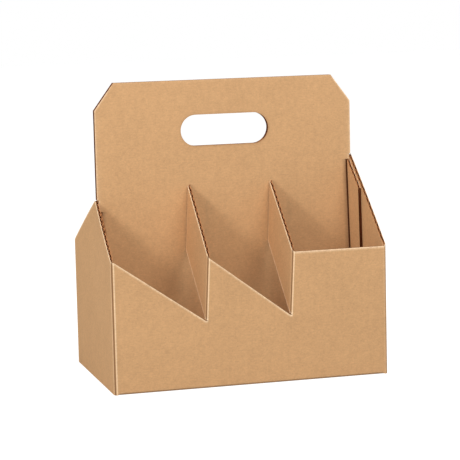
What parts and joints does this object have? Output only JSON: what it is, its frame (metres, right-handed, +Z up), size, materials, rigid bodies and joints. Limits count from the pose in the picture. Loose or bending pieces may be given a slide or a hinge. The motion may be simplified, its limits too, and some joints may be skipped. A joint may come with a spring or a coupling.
{
  "type": "bottle carrier",
  "caption": "Folded corrugated-board bottle carrier: open cells between leaning dividers, notched panels, gabled ends and a tall doubled handle with a hand hole.",
  "frame": {"origin": "centre of the base, on the surface that the carrier stands on", "axes": "+X along the width from the lower end to the taller end, +Y from the front panel to the back panel, +Z up"},
  "size_m": [0.26, 0.166, 0.275],
  "materials": {
    "outer_wrap": "natural kraft, matt",
    "handle_insert": "natural kraft, matt"
  },
  "bodies": {
    "root": {"outer_wrap": "outer_wrap", "handle_insert": "handle_insert"}
  },
  "joints": []
}
